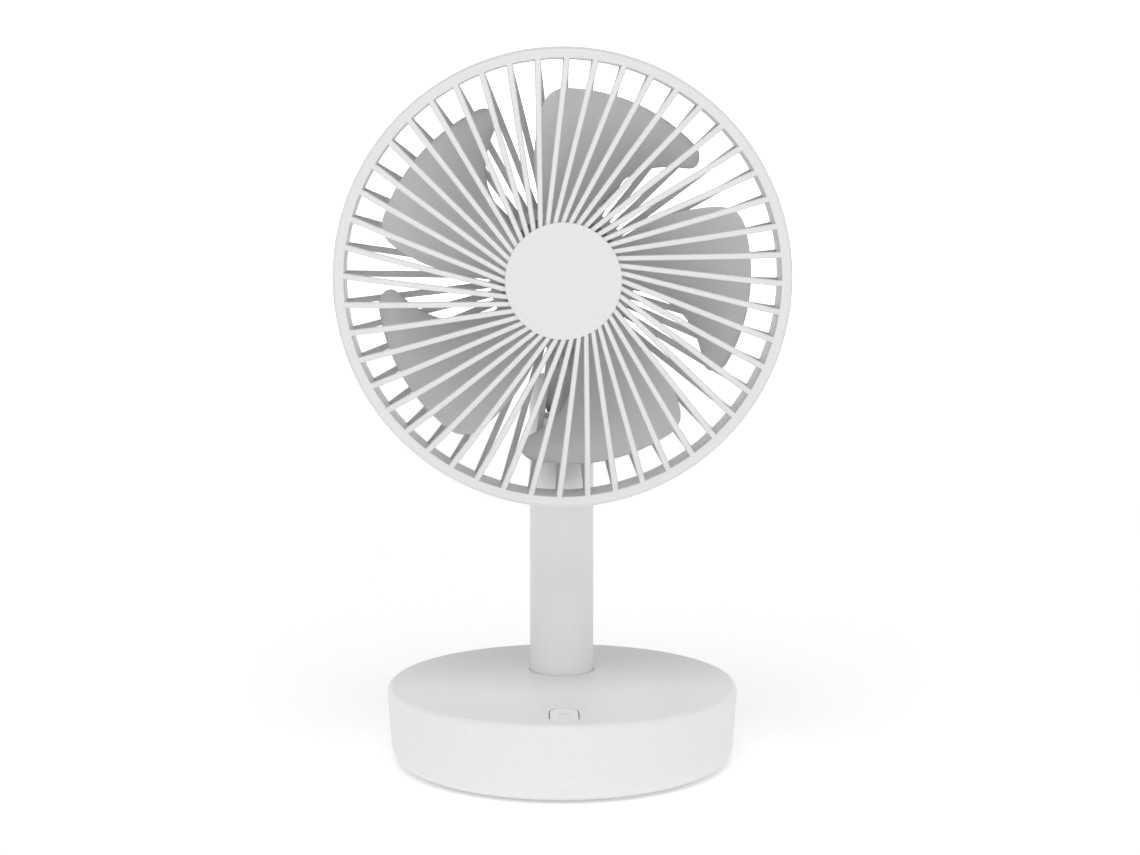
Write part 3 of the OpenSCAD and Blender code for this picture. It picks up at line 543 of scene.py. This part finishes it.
def make_button():
    """The push button, slightly dished, on its hidden flange."""
    bm = bmesh.new()
    top = BASE_H
    flange_top = BASE_H - BASE_WALL - 0.1 * MM
    side = [
        (0, flange_top - 0.2 * MM), (0, top - 0.25 * MM),
        (0.06, top - 0.09 * MM), (0.2, top - 0.02 * MM),
    ]
    dish = [(0.4, top), (2.5, top - 0.12 * MM), (4.5, top - 0.22 * MM), (5.8, top - 0.25 * MM)]
    rings = []
    for inset, z in side + dish:
        width = BUTTON_W - 2 * (BUTTON_GAP + inset * MM)
        length = BUTTON_L - 2 * (BUTTON_GAP + inset * MM)
        rings.append([(x, y, z) for x, y in stadium_outline(width, length, BUTTON_Y)])
    loft(bm, rings)
    flange_w = button_high.x - button_low.x
    flange_l = button_high.y - button_low.y
    prism(bm, stadium_outline(flange_w, flange_l, BUTTON_Y), flange_top - BUTTON_FLANGE_T, flange_top)
    prism(bm, circle_outline(BUTTON_STEM_R, 32, (0, BUTTON_Y)), button_low.z, flange_top - 0.7 * MM)
    piece = add_mesh("fan_button_cap", bm)
    return finish_piece(piece, "button", "shell_white", BUTTON, "power_button")


def make_button_mark():
    """A faint generic mark on the button: an arc over three dots."""
    bm = bmesh.new()
    z = BASE_H - 0.3 * MM
    arc_y = BUTTON_Y - 1 * MM
    dots_y = BUTTON_Y - 4.6 * MM
    outer_r = MARK_R + MARK_LINE / 2
    inner_r = MARK_R - MARK_LINE / 2
    angles = [math.radians(-50 + 100 * k / 16) for k in range(17)]
    outside = [(outer_r * math.sin(a), arc_y + outer_r * math.cos(a)) for a in angles]
    inside = [(inner_r * math.sin(a), arc_y + inner_r * math.cos(a)) for a in reversed(angles)]
    prism(bm, outside + inside, z, z + 0.2 * MM)
    for x in (-MARK_DOT_PITCH, 0, MARK_DOT_PITCH):
        prism(bm, circle_outline(MARK_DOT_R, 16, (x, dots_y)), z, z + 0.16 * MM)
    piece = add_mesh("fan_button_mark", bm)
    return finish_piece(piece, "button", "shell_white", MARK)


def make_base_plate():
    """The plate of the underside, with screw holes and recesses for the pads."""
    bm = bmesh.new()
    top = BASE_Z + BASE_WALL
    lathe(bm, rounded([
        (0, BASE_Z, 0), (PLATE_R, BASE_Z, 0.4 * MM), (PLATE_R, top, 0.3 * MM), (0, top, 0),
    ], 3), 160)
    piece = add_mesh("fan_base_plate", bm)
    cutters = []
    for i, angle in enumerate(SCREW_ANGLES):
        hole = circle_outline(SCREW_HOLE_R, 32, around(SCREW_PLACE_R, angle))
        cutters.append(cutter(f"c_screw_{i}", hole, -1 * MM, SCREW_SEAT_Z))
    for i, angle in enumerate(PAD_ANGLES):
        recess = circle_outline(PAD_RECESS_R, 48, around(PAD_PLACE_R, angle))
        cutters.append(cutter(f"c_pad_{i}", recess, -1 * MM, PAD_T))
    cut(piece, cutters)
    bevel(piece, 0.25 * MM, 2, 60)
    return finish_piece(piece, "base", "shell_white", SHELL, "base_plate")


def make_pads():
    """Four round rubber pads with a rounded edge."""
    bm = bmesh.new()
    outline = rounded([(0, 0, 0), (PAD_R, 0, 0.5 * MM), (PAD_R, PAD_T, 0.2 * MM), (0, PAD_T, 0)], 4)
    for angle in PAD_ANGLES:
        part = bmesh.new()
        lathe(part, outline, 48)
        turn = Matrix.Rotation(math.radians(angle), 4, "Z")
        part.transform(turn @ Matrix.Translation((PAD_PLACE_R, 0, 0)))
        mesh = bpy.data.meshes.new("pad")
        part.to_mesh(mesh)
        part.free()
        bm.from_mesh(mesh)
        bpy.data.meshes.remove(mesh)
    piece = add_mesh("fan_pads", bm)
    return finish_piece(piece, "base", "pad_rubber", RUBBER, "foot_pads")


# ---------------------------------------------------------------------------
# Column
# ---------------------------------------------------------------------------
SLOT_W = 15.4 * MM
SLOT_BOTTOM = 155 * MM
COLUMN_WALL = 2.2 * MM


def make_column():
    """The column tube, with its slotted top edge rounded."""
    bm = bmesh.new()
    inside = COLUMN_R - COLUMN_WALL
    collar = SLOT_BOTTOM - 1.5 * MM
    lathe(bm, rounded([
        (COLUMN_R, COLUMN_FOOT, 0.3 * MM), (COLUMN_R, collar, 0), (COLUMN_R, COLUMN_TOP, 0.8 * MM),
        (inside, COLUMN_TOP, 0.2 * MM), (inside, collar, 0), (inside, COLUMN_FOOT, 0.3 * MM),
    ], 5), 128)
    place = Matrix.Translation((0, COLUMN_Y, 0))
    piece = add_mesh("fan_column", bm, place)
    slot = box_outline(SLOT_W, 60 * MM, 1 * MM)
    cut(piece, [cutter("c_slot", slot, SLOT_BOTTOM, COLUMN_TOP + 5 * MM, place)])
    bevel(piece, 0.25 * MM, 2, 50)
    return finish_piece(piece, "column", "shell_white", SHELL, "column_tube")


# ---------------------------------------------------------------------------
# Head: housing and grilles
# ---------------------------------------------------------------------------
def make_housing():
    """The deep ring behind the front grille, with a rounded front lip and a slight draft."""
    wall_front = HOUSING_R - 2.4 * MM
    outline = rounded([
        (WALL_IN_R, SEAM_Z, 0.15 * MM), (REAR_R, SEAM_Z, 0.15 * MM),
        (HOUSING_R, HOUSING_FRONT - 6 * MM, 20 * MM), (HOUSING_R, HOUSING_FRONT, 0.4 * MM),
        (wall_front, HOUSING_FRONT, 0.3 * MM), (wall_front, HOUSING_FRONT - 7 * MM, 0.2 * MM),
        (WALL_IN_R, HOUSING_FRONT - 10 * MM, 2 * MM),
    ], 6)
    bm = bmesh.new()
    lathe(bm, outline, 256)
    piece = flat_normals(add_mesh("fan_ring_housing", bm, HEAD_FRAME))
    return finish_piece(piece, "head", "shell_white", SHELL, "ring_housing")


def smooth_line(points, steps):
    """Points along a smooth curve through the given (x, y) points."""
    line = []
    for i in range(len(points) - 1):
        p0 = Vector(points[max(i - 1, 0)])
        p1 = Vector(points[i])
        p2 = Vector(points[i + 1])
        p3 = Vector(points[min(i + 2, len(points) - 1)])
        for k in range(steps):
            t = k / steps
            line.append(0.5 * (2 * p1 + (p2 - p0) * t + (2 * p0 - 5 * p1 + 4 * p2 - p3) * t * t
                               + (3 * p1 - p0 - 3 * p2 + p3) * t ** 3))
    line.append(Vector(points[-1]))
    return line


def rib_section(front_width, back_width, front, back, edge=0.4 * MM, steps=3):
    """Cross-section of a rib: (across, height) points, with rounded front corners and drafted sides."""
    half = front_width / 2
    points = []
    for middle, start in ((half - edge, 0), (edge - half, math.pi / 2)):
        for k in range(steps + 1):
            angle = start + math.pi / 2 * k / steps
            points.append((middle + edge * math.cos(angle), front - edge + edge * math.sin(angle)))
    points.append((-back_width / 2, back + 0.3 * MM))
    points.append((-back_width / 2 + 0.3 * MM, back))
    points.append((back_width / 2 - 0.3 * MM, back))
    points.append((back_width / 2, back + 0.3 * MM))
    return points


def make_front_grille():
    """Ring, centre disc and ribs. A rib looks straight from the front, and bends near the ring."""
    bm = bmesh.new()
    spigot = FACE_Z - 11 * MM
    shoulder = FACE_Z - 4.9 * MM
    lathe(bm, rounded([
        (RING_IN_R, FACE_Z, 0.5 * MM), (RING_IN_R + 1.2 * MM, spigot, 0.3 * MM),
        (RING_IN_R + 2.4 * MM, spigot, 0.3 * MM), (RING_IN_R + 2.8 * MM, shoulder, 0.1 * MM),
        (RING_R, shoulder, 0.2 * MM), (RING_R, FACE_Z, 1.2 * MM),
    ], 6), 256)
    top = DISC_Z
    under = DISC_Z - 2.2 * MM
    lathe(bm, rounded([
        (0, top, 0), (DISC_R, top, 0.5 * MM), (DISC_R, under, 0.3 * MM), (0, under, 0),
    ], 5), 128)
    heights = [(23.5 * MM, top), (45 * MM, top - 0.5 * MM), (62 * MM, top - 1.5 * MM),
               (76 * MM, top - 3.4 * MM), (84 * MM, top - 6 * MM), (90 * MM, top - 9 * MM),
               (96 * MM, FACE_Z - 0.6 * MM)]
    line = smooth_line(heights, 4)
    for k in range(RIBS):
        turn = Matrix.Rotation(math.radians(FIRST_RIB + k * 360 / RIBS), 4, "Z")
        rings = []
        for radius, height in line:
            along = math.sqrt(radius * radius - RIB_OFFSET * RIB_OFFSET)
            share = (radius - DISC_R) / (RING_R - DISC_R)
            width = (1.9 + 0.45 * share) * MM
            depth = (3.2 + 0.4 * share) * MM
            section = rib_section(width, width + 0.5 * MM, height - 0.03 * MM, height - depth)
            rings.append([turn @ Vector((along, RIB_OFFSET + across, z)) for across, z in section])
        loft(bm, rings)
    piece = flat_normals(add_mesh("fan_front_grille", bm, HEAD_FRAME))
    return finish_piece(piece, "head", "grille_white", GRILLE, "front_grille")


def make_rear_ring():
    """The light ring that closes the housing at the back."""
    bm = bmesh.new()
    lathe(bm, rounded([
        (WALL_IN_R, SEAM_Z, 0.15 * MM), (WALL_IN_R, 0, 0.5 * MM),
        (REAR_R, 0, 1.2 * MM), (REAR_R, SEAM_Z, 0.15 * MM),
    ], 5), 256)
    piece = flat_normals(add_mesh("fan_rear_ring", bm, HEAD_FRAME))
    return finish_piece(piece, "head", "shell_white", SHELL)


def make_rear_grille():
    """Motor cup and radial ribs out to the rear ring."""
    bm = bmesh.new()
    bore = 6.1 * MM
    rim = 1 * MM
    inside = CUP_R - 5 * MM
    floor = CUP_BACK + 2 * MM
    lathe(bm, rounded([
        (bore, CUP_BACK, 0.2 * MM), (CUP_R, CUP_BACK, 1 * MM), (CUP_R, rim, 0.5 * MM),
        (inside, rim, 0.5 * MM), (inside, floor, 0.8 * MM), (bore, floor, 0.2 * MM),
    ], 5), 128)
    line = [(CUP_R - 1 * MM, 0.0), (50 * MM, 1.3 * MM), (70 * MM, 2.6 * MM), (85 * MM, 3.5 * MM),
            (92 * MM, 3.8 * MM), (94.6 * MM, 3.4 * MM), (97.2 * MM, 2.3 * MM)]
    for k in range(RIBS):
        turn = Matrix.Rotation(math.radians(FIRST_REAR_RIB + k * 360 / RIBS), 4, "Z")
        rings = []
        for radius, height in line:
            share = (radius - CUP_R) / (WALL_IN_R - CUP_R)
            back = CUP_BACK * (1 - share) + 0.3 * MM
            width = (2.7 - 0.2 * share) * MM
            section = rib_section(width, width + 0.3 * MM, height, back, 0.5 * MM)
            rings.append([turn @ Vector((radius, across, z)) for across, z in section])
        loft(bm, rings)
    piece = flat_normals(add_mesh("fan_rear_grille", bm, HEAD_FRAME))
    # The darker plastic on the cup and ribs is painted shade from inside the housing; the real part is white like
    # the front grille.
    return finish_piece(piece, "head", "grille_white", REAR_PAINTED_SHADE, "rear_grille")


# ---------------------------------------------------------------------------
# Head: rear cover and neck
# ---------------------------------------------------------------------------
COVER_R = 31 * MM
COVER_BACK = -18 * MM
COVER_WALL = 1.8 * MM
COVER_SCREW_R = 25.5 * MM
NECK_W = 13.6 * MM
NECK_EYE_R = 7.5 * MM
NECK_TOP_Z = 206 * MM
NECK_FRONT_Y = 7.3 * MM
NECK_BACK_Y = 10.9 * MM
PIN_HOLE_R = 2.55 * MM
BRACKET_R = 20 * MM
BRACKET_T = 3.6 * MM


def make_rear_cover():
    """The shallow cap behind the motor, with a notch for the neck and three screw holes."""
    bm = bmesh.new()
    inner_r = COVER_R - COVER_WALL
    inner_back = COVER_BACK + COVER_WALL
    lathe(bm, rounded([
        (0, COVER_BACK, 0), (COVER_R, COVER_BACK, 4 * MM), (COVER_R, CUP_BACK, 0.3 * MM),
        (inner_r, CUP_BACK, 0.3 * MM), (inner_r, inner_back, 2.2 * MM), (0, inner_back, 0),
    ], 8), 128)
    piece = add_mesh("fan_rear_cover", bm)
    through = (COVER_BACK - 2 * MM, 2 * MM)
    side = NECK_W / 2 + 0.3 * MM
    notch = [(-side, -40 * MM), (side, -40 * MM), (side, -16 * MM), (-side, -16 * MM)]
    cutters = [cutter("c_notch", notch, *through)]
    for i, angle in enumerate((0, 90, 180)):
        hole = circle_outline(1.6 * MM, 24, around(COVER_SCREW_R, angle))
        cutters.append(cutter(f"c_cover_{i}", hole, *through))
    cut(piece, cutters)
    piece.data.transform(HEAD_FRAME)
    bevel(piece, 0.3 * MM, 2, 50)
    return finish_piece(piece, "head", "shell_white", SHELL, "rear_cover")


def make_neck():
    """The arm from the motor down into the slot of the column."""
    eye = NECK_EYE_R
    y = COLUMN_Y
    z = TILT_Z
    side = rounded([
        (NECK_FRONT_Y, NECK_TOP_Z, 0.5 * MM), (NECK_FRONT_Y, 188 * MM, 4 * MM),
        (y - eye, z + 1.5 * MM, 4 * MM),
        (y - eye, z - eye, eye * 0.98), (y + eye, z - eye, eye * 0.98), (y + eye, z + 8 * MM, 5 * MM),
        (17.5 * MM, 190 * MM, 5 * MM), (NECK_BACK_Y, NECK_TOP_Z, 0.5 * MM),
    ], 8)
    bm = bmesh.new()
    prism(bm, side, -NECK_W / 2, NECK_W / 2)
    upright = Matrix(((0, 0, 1, 0), (1, 0, 0, 0), (0, 1, 0, 0), (0, 0, 0, 1)))
    piece = add_mesh("fan_neck", bm, upright)
    hole = cutter("c_pin", circle_outline(PIN_HOLE_R, 32, (y, z)), -20 * MM, 20 * MM, upright)
    cut(piece, [hole])
    bevel(piece, 0.8 * MM, 3, 40)
    return finish_piece(piece, "head", "shell_white", SHELL, "neck_arm")


def make_neck_bracket():
    """The round plate at the top of the arm, behind the motor cup."""
    bm = bmesh.new()
    front = CUP_BACK - 0.1 * MM
    back = front - BRACKET_T
    lathe(bm, rounded([
        (0, back, 0), (BRACKET_R, back, 0.5 * MM), (BRACKET_R, front, 0.3 * MM), (0, front, 0),
    ], 3), 96)
    piece = add_mesh("fan_neck_bracket", bm, HEAD_FRAME)
    return finish_piece(piece, "head", "shell_white", SHELL)


# ---------------------------------------------------------------------------
# Impeller
# ---------------------------------------------------------------------------
BLADES = 5
HUB_R = 22 * MM
BLADE_T = 1.8 * MM
BLADE_EDGE = 1.1
CAMBER = 2.2
EDGE_STEPS = [0, 0.06, 0.2, 0.45, 0.75, 1.1]
BLADE_ROWS = 26
BLADE_COLUMNS = 16
# Radius in mm against the clockwise angle of each edge in degrees, seen from the front
TRAILING = [(20, 178), (40, 181.5), (53, 184.5), (60, 186.4), (66, 188.2), (72, 190.1), (76.6, 191.9),
            (79.2, 193.4), (80.8, 195), (82, 197.3), (82.4, 200.5)]
LEADING = [(20, 222), (36, 226), (50, 230), (58, 234.5), (63.5, 238.5), (67, 241.6), (70, 244.2),
           (72, 246.2), (74, 247.7), (76.1, 248.3), (78, 248), (80, 247), (81.5, 245.5),
           (82.2, 244.1), (82.4, 242.5)]
# Radius in mm against the height of the blade's front and rear edges
FRONT_EDGE = [(20, 28), (50, 29), (82.4, 27.5)]
REAR_EDGE = [(20, 9), (50, 8.5), (82.4, 11)]
BLADE_TRAILING = smooth_line(TRAILING, 8)
BLADE_LEADING = smooth_line(LEADING, 8)
BLADE_FRONT = smooth_line(FRONT_EDGE, 8)
BLADE_REAR = smooth_line(REAR_EDGE, 8)


def value_at(curve, x):
    """The curve's value at x, from its dense points."""
    for a, b in zip(curve, curve[1:]):
        if x <= b[0]:
            return a[1] + (b[1] - a[1]) * (x - a[0]) / (b[0] - a[0])
    return curve[-1][1]


def blade_point(radius, along, chord, start, sweep, sign):
    """A point of one blade's skin, in mm: sign is 1 on the front and -1 on the back."""
    share = along / chord
    angle = math.radians(start + sweep * share)
    height = value_at(BLADE_FRONT, radius) * (1 - share) + value_at(BLADE_REAR, radius) * share
    height += CAMBER * math.sin(math.pi * share)
    depth = min(along, chord - along, BLADE_R / MM - radius, BLADE_EDGE) / BLADE_EDGE
    half = BLADE_T / 2 * math.sqrt(max(0, 1 - (1 - depth) ** 2))
    x = radius * math.cos(angle)
    y = -radius * math.sin(angle)
    return Vector((x * MM, y * MM, height * MM + sign * half))


def blade_skin(sign):
    """Rows of points over one blade, closer together near the edges."""
    tip = BLADE_R / MM
    inner = HUB_R / MM - 1.5
    radii = [inner + (tip - 1.6 - inner) * math.sin(math.pi / 2 * k / BLADE_ROWS)
             for k in range(BLADE_ROWS)]
    radii += [tip - d for d in reversed(EDGE_STEPS)]
    rows = []
    for radius in radii:
        start = value_at(BLADE_TRAILING, radius)
        end = value_at(BLADE_LEADING, radius)
        chord = radius * math.radians(end - start)
        steps = list(EDGE_STEPS)
        middle = chord - 2 * BLADE_EDGE
        steps += [BLADE_EDGE + middle * i / BLADE_COLUMNS for i in range(1, BLADE_COLUMNS)]
        steps += [chord - d for d in reversed(EDGE_STEPS)]
        rows.append([blade_point(radius, along, chord, start, end - start, sign) for along in steps])
    return rows


def add_blade(bm, turn):
    """One closed blade, turned into its place."""
    made = [[[bm.verts.new(turn @ p) for p in row] for row in blade_skin(sign)] for sign in (1, -1)]
    rows = len(made[0])
    count = len(made[0][0])
    for i in range(rows - 1):
        for j in range(count - 1):
            for skin in made:
                bm.faces.new((skin[i][j], skin[i][j + 1], skin[i + 1][j + 1], skin[i + 1][j]))
    for j in range(count - 1):
        bm.faces.new((made[0][0][j], made[0][0][j + 1], made[1][0][j + 1], made[1][0][j]))


def make_impeller():
    """Hub and blades. Each blade is a closed skin whose thickness falls to a rounded edge."""
    bm = bmesh.new()
    back = 8 * MM
    front = 36 * MM
    web = 29.2 * MM
    inside = 19 * MM
    bore = 1.5 * MM
    bore_end = 33 * MM
    lathe(bm, rounded([
        (inside, back, 0.3 * MM), (HUB_R, back, 0.5 * MM), (HUB_R, front, 3 * MM), (0, front, 0),
        (0, bore_end, 0), (bore, bore_end, 0), (bore, web, 0), (inside, web, 0),
    ], 6), 96)
    for k in range(BLADES):
        add_blade(bm, Matrix.Rotation(-TAU * k / BLADES, 4, "Z"))
    bmesh.ops.remove_doubles(bm, verts=bm.verts, dist=0.002 * MM)
    piece = add_mesh("fan_impeller", bm, HEAD_FRAME)
    return finish_piece(piece, "rotor", "blade_grey", BLADE, "impeller")


make_base_shell()
make_button()
make_button_mark()
make_base_plate()
make_pads()
make_column()
make_housing()
make_front_grille()
make_rear_ring()
make_rear_grille()
make_rear_cover()
make_neck()
make_neck_bracket()
make_impeller()


# ---------------------------------------------------------------------------
# Floor, wall and light
# ---------------------------------------------------------------------------
ROOM_R = 3
ROOM_H = 0.95
FLOOR_GLOW = 0.22
FAR_GLOW = 0.4
NEAR_R = 0.3
SIDE_WALL = 0.3
BACK_WALL = 0.92
SIDE_WALL_Y = 0.5
BACK_WALL_Y = 2.4
WORLD = 0.46
KEY = 54
KEY_PLACE = (-0.1, -1.75, 3.4)
KEY_TARGET = (0, 0, 0.15)
KEY_SIZE = (2.4, 2.4)


def glow_along(look, source, low, high, first, last):
    """Makes a material glow from strength first to last as source goes from low to high."""
    node = look.tree.nodes.new("ShaderNodeMapRange")
    node.inputs["From Min"].default_value = low
    node.inputs["From Max"].default_value = high
    node.inputs["To Min"].default_value = first
    node.inputs["To Max"].default_value = last
    look.link(source, node.inputs["Value"])
    look.link(node.outputs["Result"], look.shader.inputs["Emission Strength"])
    look.shader.inputs["Emission Color"].default_value = (1, 1, 1, 1)


def make_floor():
    """A round pale floor, which glows a little more far out, where the key light fades."""
    bm = bmesh.new()
    bm.faces.new([bm.verts.new((x, y, 0)) for x, y in circle_outline(ROOM_R, 96)])
    floor = add_mesh("floor", bm)
    look = Look("floor_white", 0.9, specular=0.0)
    look.colour(look.noise(2, 2), grey(0.96), grey(0.98))
    distance = look.tree.nodes.new("ShaderNodeVectorMath")
    distance.operation = "LENGTH"
    look.link(look.place, distance.inputs[0])
    glow_along(look, distance.outputs["Value"], NEAR_R, ROOM_R, FLOOR_GLOW, FAR_GLOW)
    floor.data.materials.append(look.material)


def make_wall():
    """A low wall round the floor, white behind the object and dimmer elsewhere."""
    bm = bmesh.new()
    rings = [[(x, y, z) for x, y in circle_outline(ROOM_R, 96)] for z in (-0.1, ROOM_H)]
    loft(bm, rings, closed_ends=False)
    wall = add_mesh("room_wall", bm)
    look = Look("wall_white", 0.9, specular=0.0)
    look.shader.inputs["Base Color"].default_value = (0.8, 0.8, 0.8, 1)
    split = look.tree.nodes.new("ShaderNodeSeparateXYZ")
    look.link(look.place, split.inputs[0])
    glow_along(look, split.outputs["Y"], SIDE_WALL_Y, BACK_WALL_Y, SIDE_WALL, BACK_WALL)
    wall.data.materials.append(look.material)


def area_light(name, place, target, size, power):
    """A soft rectangular light aimed at a target."""
    data = bpy.data.lights.new(name, "AREA")
    data.shape = "RECTANGLE"
    data.size = size[0]
    data.size_y = size[1]
    data.energy = power
    light = bpy.data.objects.new(name, data)
    light.location = place
    light.rotation_euler = (Vector(target) - Vector(place)).to_track_quat("-Z", "Y").to_euler()
    bpy.context.scene.collection.objects.link(light)


def make_light():
    """Even light from the sky, and one large soft key light above and in front."""
    scene = bpy.context.scene
    world = bpy.data.worlds.new("studio")
    world.use_nodes = True
    background = world.node_tree.nodes["Background"]
    background.inputs["Color"].default_value = (1, 1, 1, 1)
    background.inputs["Strength"].default_value = WORLD
    scene.world = world
    area_light("key", KEY_PLACE, KEY_TARGET, KEY_SIZE, KEY)
    scene.view_settings.view_transform = "Standard"


make_floor()
make_wall()
make_light()
